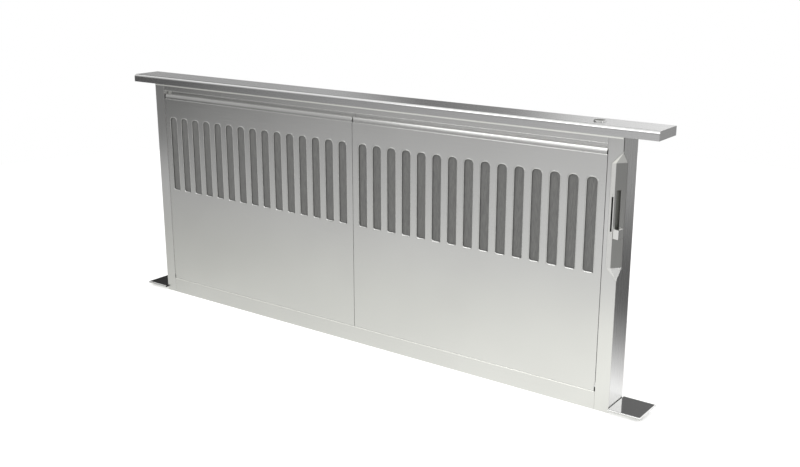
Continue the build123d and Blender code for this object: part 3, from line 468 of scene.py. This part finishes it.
finishes = [
    (sheets["stainlessSatinFront"], ["header_rail", "bottom_rail"]),
    (sheets["stainlessSatinFront"], ["filter_cover_left", "filter_cover_right"]),
    (sheets["stainlessSatinCap"], ["cap", "cap_base", "back_panel", "push_button"]),
    (sheets["stainlessSatinStiles"], ["stile_left", "stile_right"]),
    (sheets["stainlessSatinSides"], ["side_panel_left", "side_panel_right"]),
    (sheets["anodisedTrimSatin"], ["control_bezel"]),
    # the knob's lighter tone is a painted highlight of its lit faces
    (sheets["anodisedKnobPaintedLight"], ["slider_knob"]),
    (mirrorPlate, ["end_plate_left", "end_plate_right"]),
    (zincSheet, ["post_left", "post_right", "bottom_tie", "lift_brackets", "guide_rails", "motor_saddle"]),
    (zincSheet, ["housing_front", "housing_back", "housing_sides", "housing_bottom"]),
    (zincSheet, ["scroll_back", "scroll_band", "scroll_front", "duct_neck", "duct_collar"]),
    (zincSheet, ["junction_box", "junction_cover", "blower_wheel"]),
    (greaseMesh, ["filter_mesh_left", "filter_mesh_right"]),
    (plain["aluminiumMillFinish"], ["filter_frame_left", "filter_frame_right"]),
    (plain["aluminiumMillFinish"], ["damper_flap_front", "damper_flap_rear"]),
    (plain["steelGround"], ["cross_shaft", "blower_shaft", "damper_pin"]),
    (plain["aluminiumDieCast"], ["angle_gearboxes"]),
    (plain["enamelBlackSemiGloss"], ["lift_motor", "blower_motor"]),
    (plain["nylonBlackMoulded"], ["button_switch", "magnet_catches"]),
    (plain["nylonGreyAndPaintedShade"], ["slide_control"]),
    (plain["acetalDarkMoulded"], ["upper_bearings", "guide_shoes"]),
    (plain["bronzeMachined"], ["lift_nuts"]),
    (plain["blackFoamAndPaintedShade"], ["counter_gasket"]),
    (plain["glassEpoxyGreen"], ["control_board"]),
    (plain["zincPlatedScrews"], ["plate_screws", "motor_screws", "box_screws"]),
    (threads["left"], ["lead_screw_left"]),
    (threads["right"], ["lead_screw_right"]),
]
for material, names in finishes:
    for name in names:
        nodes[name].data.materials.clear()
        nodes[name].data.materials.append(material)
# second finishes, for the faces that look this way, this squarely or more, each of them painted shade: the
# pocket's floor darker and rougher than its rim, the button's top a darker grey for its recess, and black on
# the plates' faces at the head
for name, material, along, least in (
    # pocket floor: the darker copy on the faces turned to the side, painted shade
    ("control_bezel", sheets["anodisedTrimPaintedShade"], Vector((1, 0, 0)), 0.6),
    # button top: a darker grey, painted shade of its recess
    ("push_button", plain["nylonGreyAndPaintedShade"], Vector((0, 0, 1)), 0.95),
    # plates' faces towards the head: black, painted shade in the gap to the head
    ("end_plate_left", plain["blackFoamAndPaintedShade"], Vector((1, 0, 0)), 0.95),
    ("end_plate_right", plain["blackFoamAndPaintedShade"], Vector((-1, 0, 0)), 0.95),
):
    data = nodes[name].data
    data.materials.append(material)
    for face in data.polygons:
        if face.normal.dot(along) > least:
            face.material_index = 1
print("finishes given to every piece")


# drawn lips round the slots: a low bead stands round each slot, and inside it the sheet rolls inward
slots = {
    "count": 15,
    "pitch": 25.4,  # mm, as are the sizes that follow
    "width": 14.3,
    "foot": 181.3,  # over the counter
    "head": 302.4,
    "headRadius": 5.5,
    "footRadius": 2.5,
    "cornerSteps": 7,
    # section of the lip: mm outward from the slot's edge, mm behind the face
    "section": [
        (1.4, 0.02), (1.1, -0.2), (0.8, -0.3), (0.4, -0.22), (0.05, 0), (-0.3, 0.5), (-0.5, 0.9),
        (-0.5, 1.35),
    ],
    "footShare": 1.5,  # the lip reaches further in at the foot, less at the sides and head
    "sideShare": 0.5,
    "sideRaise": 0.35,  # along the sides its bead stands less proud than at the head and foot
    "sheet": 0.2,
}


def slotLips(name, coverName, body, s):
    low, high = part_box(coverName)
    face, middle = low[1] * 1000, (low[0] + high[0]) * 500
    corners, faces = [], []
    # the four rounded corners: first angle, middle from the slot's own, radius
    quarters = (
        (0, s["width"] / 2 - s["headRadius"], s["head"] - s["headRadius"], s["headRadius"]),
        (90, s["headRadius"] - s["width"] / 2, s["head"] - s["headRadius"], s["headRadius"]),
        (180, s["footRadius"] - s["width"] / 2, s["foot"] + s["footRadius"], s["footRadius"]),
        (270, s["width"] / 2 - s["footRadius"], s["foot"] + s["footRadius"], s["footRadius"]),
    )
    around = 4 * (s["cornerSteps"] + 1)
    for number in range(s["count"]):
        slotX = middle + (number - (s["count"] - 1) / 2) * s["pitch"]
        start = len(corners)
        for outward, behind in s["section"]:
            for turn, x, z, radius in quarters:
                for step in range(s["cornerSteps"] + 1):
                    angle = math.radians(turn + 90 * step / s["cornerSteps"])
                    across, up = math.cos(angle), math.sin(angle)
                    share = s["sideShare"] + (s["footShare"] - s["sideShare"]) * max(0, -up)
                    reach = radius + (outward if outward > 0 else outward * share)
                    raised = s["sideRaise"] + (1 - s["sideRaise"]) * abs(up) if behind < 0 else 1
                    corners.append((slotX + x + reach * across, face + behind * raised, z + reach * up))
        for ring in range(len(s["section"]) - 1):
            for i in range(around):
                a, b = start + ring * around + i, start + ring * around + (i + 1) % around
                faces.append((a, b, b + around, a + around))
    lips = makePiece(name, corners, faces, sheets["stainlessSatinFront"], body)
    # the lip is a sheet with two sides
    thicken = lips.modifiers.new("sheet", "SOLIDIFY")
    thicken.thickness = s["sheet"] / 1000
    thicken.offset = -1


slotLips("slotLipsLeft", "filter_cover_left", "cover_left", slots)
slotLips("slotLipsRight", "filter_cover_right", "cover_right", slots)
print("slot lips made")


# knitted pad in each filter frame: it fills the frame up to the cover's back, in shallow upright pleats
pads = {
    "behindFace": 1.55,  # mm, as are the other sizes
    "thickness": 2.6,
    "pleat": 2.54,
    "pleatDepth": 0.12,
    "steps": 4,  # sections to a pleat
    "insideMesh": 3.4,  # smaller than the solid filter layer, on every side
    "rounding": 0.8,
}


def meshPad(name, meshName, coverName, body, s):
    low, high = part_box(meshName)
    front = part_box(coverName)[0][1] * 1000 + s["behindFace"]
    x0, x1, z0, z1 = [c * 1000 for c in (low[0], high[0], low[2], high[2])]
    x0, z0 = x0 + s["insideMesh"], z0 + s["insideMesh"]
    x1, z1 = x1 - s["insideMesh"], z1 - s["insideMesh"]
    count = round((x1 - x0) / s["pleat"] * s["steps"])
    # each section goes from the back's foot up over the pleated front to the back's head
    heights = [(s["thickness"], z0), (s["rounding"], z0), (0, z0 + s["rounding"])]
    heights += [(0, z1 - s["rounding"]), (s["rounding"], z1), (s["thickness"], z1)]
    corners, faces = [], []
    for i in range(count + 1):
        wave = s["pleatDepth"] * (1 - math.cos(2 * math.pi * i / s["steps"]))
        edge = s["rounding"] if i in (0, count) else 0
        x = x0 + (x1 - x0) * i / count
        for depth, z in heights:
            corners.append((x, front + max(depth, edge) + (wave if depth == 0 else 0), z))
    rows = len(heights)
    for i in range(count):
        for j in range(rows):
            a, b = i * rows + j, i * rows + (j + 1) % rows
            faces.append((a, b, b + rows, a + rows))
    faces += [tuple(range(rows))[::-1], tuple(range(count * rows, (count + 1) * rows))]
    makePiece(name, corners, faces, greaseMesh, body)


meshPad("meshPadLeft", "filter_mesh_left", "filter_cover_left", "cover_left", pads)
meshPad("meshPadRight", "filter_mesh_right", "filter_cover_right", "cover_right", pads)
print("mesh pads made")


def barFaces(count):
    # sides and both ends of a bar whose section has this many corners
    faces = [(i, (i + 1) % count, (i + 1) % count + count, i + count) for i in range(count)]
    return faces + [tuple(range(count))[::-1], tuple(range(count, 2 * count))]


# rolled strips that run along the head: their closed section is in mm, as (y, z)
def runAlong(name, section, x0, x1, body, material):
    corners = [(x, y, z) for x in (x0, x1) for y, z in section]
    makePiece(name, corners, barFaces(len(section)), material, body)


def arcPoints(y, z, radius, start, end, steps):
    # angles in degrees, from +y towards +z
    angles = [math.radians(start + (end - start) * i / steps) for i in range(steps + 1)]
    return [(y + radius * math.cos(a), z + radius * math.sin(a)) for a in angles]


# sizes in mm
hems = {
    "endGap": 1.0,  # the strips stop this short of the ends of what they run along
    # front strip's upper edge, which flares out to meet the cap; its heights are under the cap
    "flareTop": 0.8,
    "flareFoot": 3.2,
    "flareOut": 1.1,
    "flareSunk": 0.1,
    "flareBack": 0.5,
    # front strip's lower edge, folded round over the finger groove
    "hemRadius": 0.45,
    "hemSunk": 0.3,
    "hemArc": (60, 300, 10),  # from and to in degrees, and steps
    # strip that rises at the foot of the groove and leans back to a rounded top
    "rollFoot": 332.4,
    "rollBend": 334.2,
    "rollEase": (0.15, 0.6),  # back and up from the bend, where it starts to lean
    "rollTop": 339.2,
    "rollArc": (150, 90, 5),
    "rollLean": 1.1,
    "rollSetback": 0.7,
    "rollBack": 7.6,
    "rollDrop": 1.5,  # at its back
    "rollSheet": 0.8,
    "rollInset": 1.2,  # at the cover's outer end
    "rollGap": 0.6,  # where the two covers meet
    # bottom strip's upper edge, folded back into the seam under the covers, in the lighter copy: a painted
    # highlight for the bright line there
    "railHemFoot": 0.9,
    "railHemUnder": 0.15,
    "railHemSunk": 0.1,
    "railHemOut": 0.15,
    "railHemBack": 0.05,
    "railHemRise": 0.45,
    "railHemDepth": 0.7,
    "railHemLap": 0.05,
}


def headerStrips(s):
    low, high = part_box("header_rail")
    face, foot = low[1] * 1000, low[2] * 1000
    left, right = low[0] * 1000 + s["endGap"], high[0] * 1000 - s["endGap"]
    satin, bright = sheets["stainlessSatinFront"], sheets["stainlessEdgePaintedHighlight"]
    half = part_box("stile_right")[1][0] * 1000 - s["endGap"]
    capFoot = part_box("cap")[0][2] * 1000
    top, under, back = capFoot - s["flareTop"], capFoot - s["flareFoot"], face + s["flareBack"]
    flare = [(face + s["flareSunk"], under), (face - s["flareOut"], top), (back, top), (back, under)]
    runAlong("capFlare", flare[::-1], -half, half, "head", satin)
    hem = arcPoints(face + s["hemSunk"], foot + s["hemRadius"], s["hemRadius"], *s["hemArc"])
    runAlong("grooveHem", hem, left, right, "head", satin)
    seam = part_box("bottom_rail")[1][2] * 1000
    bend, crest, inner = seam - s["railHemFoot"], seam + s["railHemRise"], face + s["railHemDepth"]
    fold = [(face + s["railHemSunk"], bend - s["railHemUnder"]), (face - s["railHemOut"], bend)]
    fold += [(face + s["railHemBack"], crest), (inner, crest), (inner, seam - s["railHemLap"])]
    # the fold takes the lighter copy of the stainless, a painted highlight
    runAlong("railHem", fold[::-1], left, right, "head", bright)


def grooveRoll(name, coverName, body, outer, s):
    low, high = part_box(coverName)
    face, foot, bend, top = low[1] * 1000, s["rollFoot"], s["rollBend"], s["rollTop"]
    near, far, sheet = face + s["rollSetback"], face + s["rollBack"], s["rollSheet"]
    crest, tail = near + s["rollLean"] + sheet, top - s["rollDrop"]
    section = [(near, foot), (near, bend), (near + s["rollEase"][0], bend + s["rollEase"][1])]
    section += arcPoints(crest, top - sheet, sheet, *s["rollArc"])
    section += [(far, tail), (far, tail - sheet), (crest, top - 2 * sheet)]
    section += [(near + sheet, bend), (near + sheet, foot)]
    x0 = low[0] * 1000 + (s["rollInset"] if outer < 0 else s["rollGap"])
    x1 = high[0] * 1000 - (s["rollInset"] if outer > 0 else s["rollGap"])
    runAlong(name, section[::-1], x0, x1, body, sheets["stainlessSatinFront"])


headerStrips(hems)
grooveRoll("grooveRollLeft", "filter_cover_left", "cover_left", -1, hems)
grooveRoll("grooveRollRight", "filter_cover_right", "cover_right", 1, hems)
print("rolled strips made")


# dark strip standing in the open seam between the right stile and the side sheet, above the pocket: painted
# shade for the seam's dark inside
seamShadeStrip = {
    "onFront": 0.35,  # mm, as are the other sizes
    "onSide": 1.0,
    "proud": 0.1,
    "depth": 0.12,
    "chamfer": 0.05,  # at the corner
    "feather": 0.03,  # its two edges are this much lower
    "gap": 0.2,  # at its ends
}


def cornerShadeStrip(s):
    corner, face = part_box("side_panel_right")[1][0] * 1000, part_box("stile_right")[0][1] * 1000
    left, right, inner = corner - s["onFront"], corner + s["proud"], corner - s["depth"]
    near, far, sunk = face - s["proud"], face + s["onSide"], face + s["depth"]
    section = [(left, sunk), (left, near + s["feather"]), (corner - s["chamfer"], near)]
    section += [(right, face + s["chamfer"]), (right - s["feather"], far), (inner, far), (inner, sunk)]
    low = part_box("control_bezel")[1][2] * 1000 + s["gap"]
    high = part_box("cap")[0][2] * 1000 - s["gap"]
    corners = [(x, y, z) for z in (low, high) for x, y in section]
    # a black strip laid in the seam: painted shade
    makePiece("seamShadeStrip", corners, barFaces(len(section)), plain["blackFoamAndPaintedShade"], "head")


cornerShadeStrip(seamShadeStrip)
print("seam shade strip made")


# stage: a pale counter disc, and how bright the metal mirrors it in three parts: in front, further out in
# front, and behind the head's face; what the metal mirrors is painted light, an emission that glossy rays
# see
stage = {
    "discRadius": 1.62,  # metres, as are all places here
    "discSegments": 128,
    "floorColour": "#F2F2F0",
    "floorGlow": 0.42,
    # in front: x and glow, with a warm tint
    "frontGlow": [
        (-1.6, 0.35), (-0.85, 0.62), (-0.5, 0.8), (-0.38, 0.92), (0.0, 1.1), (0.35, 1.34), (0.6, 0.9),
        (0.9, 0.32), (1.6, 0.22),
    ],
    "frontTint": (1.0, 1.006, 0.968),
    "depthSlant": 0.21,  # further from the head it is as dim as further left
    # further out, which the bars between the slots mirror: x and glow, neutral
    "farGlow": [
        (-1.6, 0.52), (-1.29, 0.62), (-1.0, 0.7), (-0.79, 0.72), (-0.53, 0.8), (-0.36, 0.84), (-0.2, 0.89),
        (0.0, 0.94), (0.6, 1.0), (1.6, 0.8),
    ],
    "farTint": (1.0, 0.998, 1.01),
    "farFrom": -0.32,
    "farTo": -0.52,
    # behind, which the right side mirrors: y and glow; the dip behind the head is its painted shadow on the
    # counter
    "sideGlow": [
        (0.0, 1.7), (0.06, 1.42), (0.12, 0.95), (0.22, 0.4), (0.35, 0.12), (0.6, 0.15), (1.05, 0.42),
        (1.6, 0.6),
    ],
    "sideTint": (1.0, 1.0, 1.0),
    "sideBlend": 0.015,  # half the width over which front and behind blend, at the origin
}


def makeCounter(s):
    count, radius = s["discSegments"], s["discRadius"]
    angles = [2 * math.pi * i / count for i in range(count)]
    rim = [(radius * math.cos(a), radius * math.sin(a), 0) for a in angles]
    data = bpy.data.meshes.new("counterDisc")
    data.from_pydata(rim, [], [tuple(range(count))])
    disc = bpy.data.objects.new("counterDisc", data)
    bpy.context.scene.collection.objects.link(disc)
    material, tree = newMaterial("counterPale")
    path = addNode(tree, "ShaderNodeLightPath").outputs
    diffuse = addNode(tree, "ShaderNodeBsdfDiffuse", Color=toLinear(s["floorColour"]))
    seen = addNode(tree, "ShaderNodeEmission", Strength=s["floorGlow"])
    cameraSide = addNode(tree, "ShaderNodeAddShader", i0=diffuse.outputs[0], i1=seen.outputs[0])
    spot = addNode(tree, "ShaderNodeNewGeometry").outputs["Position"]
    x, y, _ = addNode(tree, "ShaderNodeSeparateXYZ", Vector=spot).outputs
    slanted = addNode(
        tree, "ShaderNodeMath", {"operation": "MULTIPLY_ADD"}, i0=y, i1=s["depthSlant"], i2=x
    ).outputs[0]
    glows = []
    for value, stops, tint in (
        (slanted, s["frontGlow"], s["frontTint"]),
        (x, s["farGlow"], s["farTint"]),
        (y, s["sideGlow"], s["sideTint"]),
    ):
        first, last = stops[0][0], stops[-1][0]
        share = addNode(tree, "ShaderNodeMapRange", Value=value, From_Min=first, From_Max=last).outputs[0]
        marks = [((at - first) / (last - first), [glow * c for c in tint] + [1.0]) for at, glow in stops]
        glows.append(addNode(tree, "ShaderNodeValToRGB", stops=marks, Fac=share).outputs[0])
    behind = addNode(
        tree, "ShaderNodeMapRange", Value=y, From_Min=-s["sideBlend"], From_Max=s["sideBlend"]
    ).outputs[0]
    away = addNode(
        tree, "ShaderNodeMapRange", Value=y, From_Min=s["farFrom"], From_Max=s["farTo"]
    ).outputs[0]
    front = addNode(
        tree, "ShaderNodeMix", {"data_type": "RGBA"}, Factor=away, i6=glows[0], i7=glows[1]
    ).outputs[2]
    glow = addNode(
        tree, "ShaderNodeMix", {"data_type": "RGBA"}, Factor=behind, i6=front, i7=glows[2]
    ).outputs[2]
    mirrored = addNode(tree, "ShaderNodeEmission", Color=glow, Strength=1.0)
    split = addNode(
        tree,
        "ShaderNodeMixShader",
        Fac=path["Is Glossy Ray"],
        i1=cameraSide.outputs[0],
        i2=mirrored.outputs[0],
    )
    finishMaterial(tree, split)
    data.materials.append(material)


# studio that the metal mirrors: azimuth in degrees from +Y towards -X, height is the sine of the elevation
studio = {
    # azimuth and brightness of the walls
    "around": [
        (-180, 0.9), (-155, 1.1), (-130, 0.5), (-90, 0.4), (-30, 0.42), (-15, 0.42), (5, 0.8), (20, 1.25),
        (26, 0.95), (30, 0.35), (35, 0.2), (40, 0.6), (47, 0.55), (70, 0.3), (100, 0.08), (125, 0.07),
        (131, 0.11), (134, 0.21), (140, 0.36), (150, 0.44), (165, 0.62), (180, 0.9),
    ],
    "upper": 1.25,  # brightness over the walls, which end softly between these heights
    "upperFrom": 0.34,
    "upperTo": 0.65,
    # name: azimuths where it starts, is full, is last full and ends; the same in height; what it multiplies
    # the brightness by, and what it adds
    "windows": {
        "leftFlag": ((38, 46, 62, 72), (0.20, 0.25, 0.55, 0.62), 0.1, 0.0),
        "rightFlag": ((8, 14, 38, 46), (0.30, 0.36, 0.55, 0.62), 0.18, 0.0),
        "pocketFlag": ((-135, -120, -75, -60), (0.40, 0.48, 0.88, 0.94), 0.2, 0.0),
        "stripSoftbox": ((92, 102, 134, 144), (0.13, 0.20, 0.36, 0.46), 1.0, 0.4),
        "rightSoftbox": ((-70, -60, -12, -4), (0.12, 0.16, 0.42, 0.5), 1.0, 1.8),
    },
    "soft": 0.75,  # plain light on all that doesn't mirror
}


def makeStudio(s):
    world = bpy.data.worlds.new("studio")
    bpy.context.scene.world = world
    world.use_nodes = True
    tree = world.node_tree
    tree.nodes.clear()
    path = addNode(tree, "ShaderNodeLightPath").outputs
    direction = addNode(tree, "ShaderNodeTexCoord").outputs["Generated"]
    x, y, height = addNode(tree, "ShaderNodeSeparateXYZ", Vector=direction).outputs
    left = addNode(tree, "ShaderNodeMath", {"operation": "MULTIPLY"}, i0=x, i1=-1.0).outputs[0]
    turn = addNode(tree, "ShaderNodeMath", {"operation": "ARCTAN2"}, i0=left, i1=y).outputs[0]
    around = addNode(tree, "ShaderNodeMapRange", Value=turn, From_Min=-math.pi, From_Max=math.pi).outputs[0]
    rise = addNode(tree, "ShaderNodeMapRange", Value=height, From_Min=-1.0).outputs[0]
    marks = [((angle + 180) / 360, glow) for angle, glow in s["around"]]
    band = addNode(tree, "ShaderNodeValToRGB", stops=marks, Fac=around).outputs[0]
    lift = addNode(
        tree, "ShaderNodeMapRange", Value=height, From_Min=s["upperFrom"], From_Max=s["upperTo"]
    ).outputs[0]
    sky = addNode(
        tree, "ShaderNodeMix", {"data_type": "RGBA"}, Factor=lift, i6=band, i7=[s["upper"]] * 3 + [1.0]
    ).outputs[2]
    lit, shades = sky, (0.0, 1.0, 1.0, 0.0)
    for aroundLimits, heightLimits, dimmed, added in s["windows"].values():
        turns = [((angle + 180) / 360, shade) for angle, shade in zip(aroundLimits, shades)]
        rises = [((level + 1) / 2, shade) for level, shade in zip(heightLimits, shades)]
        wide = addNode(tree, "ShaderNodeValToRGB", stops=turns, Fac=around).outputs[0]
        tall = addNode(tree, "ShaderNodeValToRGB", stops=rises, Fac=rise).outputs[0]
        inside = addNode(tree, "ShaderNodeMath", {"operation": "MULTIPLY"}, i0=wide, i1=tall).outputs[0]
        share = addNode(tree, "ShaderNodeMapRange", Value=inside, To_Min=1.0, To_Max=dimmed).outputs[0]
        extra = addNode(tree, "ShaderNodeMath", {"operation": "MULTIPLY"}, i0=inside, i1=added).outputs[0]
        dim = addNode(tree, "ShaderNodeVectorMath", {"operation": "SCALE"}, i0=lit, Scale=share).outputs[0]
        lit = addNode(tree, "ShaderNodeVectorMath", {"operation": "ADD"}, i0=dim, i1=extra).outputs[0]
    mirrored = addNode(tree, "ShaderNodeBackground", Color=lit)
    soft = addNode(tree, "ShaderNodeBackground", Strength=s["soft"], Color=[1.0] * 4)
    white = addNode(tree, "ShaderNodeBackground", Strength=1.0, Color=[1.0] * 4)
    inner = addNode(
        tree, "ShaderNodeMixShader", Fac=path["Is Glossy Ray"], i1=soft.outputs[0], i2=mirrored.outputs[0]
    )
    direct = addNode(
        tree,
        "ShaderNodeMath",
        {"operation": "MAXIMUM"},
        i0=path["Is Camera Ray"],
        i1=path["Is Transmission Ray"],
    ).outputs[0]
    outer = addNode(tree, "ShaderNodeMixShader", Fac=direct, i1=inner.outputs[0], i2=white.outputs[0])
    output = addNode(tree, "ShaderNodeOutputWorld")
    tree.links.new(outer.outputs[0], output.inputs["Surface"])


softboxes = {
    # name: (place, aimed at, width and height in metres, watts)
    "overheadFront": ((-0.5, -1.7, 1.9), (0, 0, 0.2), (1.8, 1.0), 14.0),
    "rightFill": ((2.2, -0.4, 1.2), (0, 0, 0.1), (1.0, 1.0), 10.0),
}


def makeSoftboxes(boxes):
    for name, (place, target, size, watts) in boxes.items():
        data = bpy.data.lights.new(name, "AREA")
        data.shape = "RECTANGLE"
        data.size, data.size_y = size
        data.energy = watts
        lamp = bpy.data.objects.new(name, data)
        bpy.context.scene.collection.objects.link(lamp)
        lamp.location = place
        lamp.rotation_mode = "QUATERNION"
        lamp.rotation_quaternion = (Vector(target) - Vector(place)).to_track_quat("-Z", "Y")


makeCounter(stage)
makeStudio(studio)
makeSoftboxes(softboxes)
bpy.context.scene.view_settings.view_transform = "Standard"
print("stage and lights set")
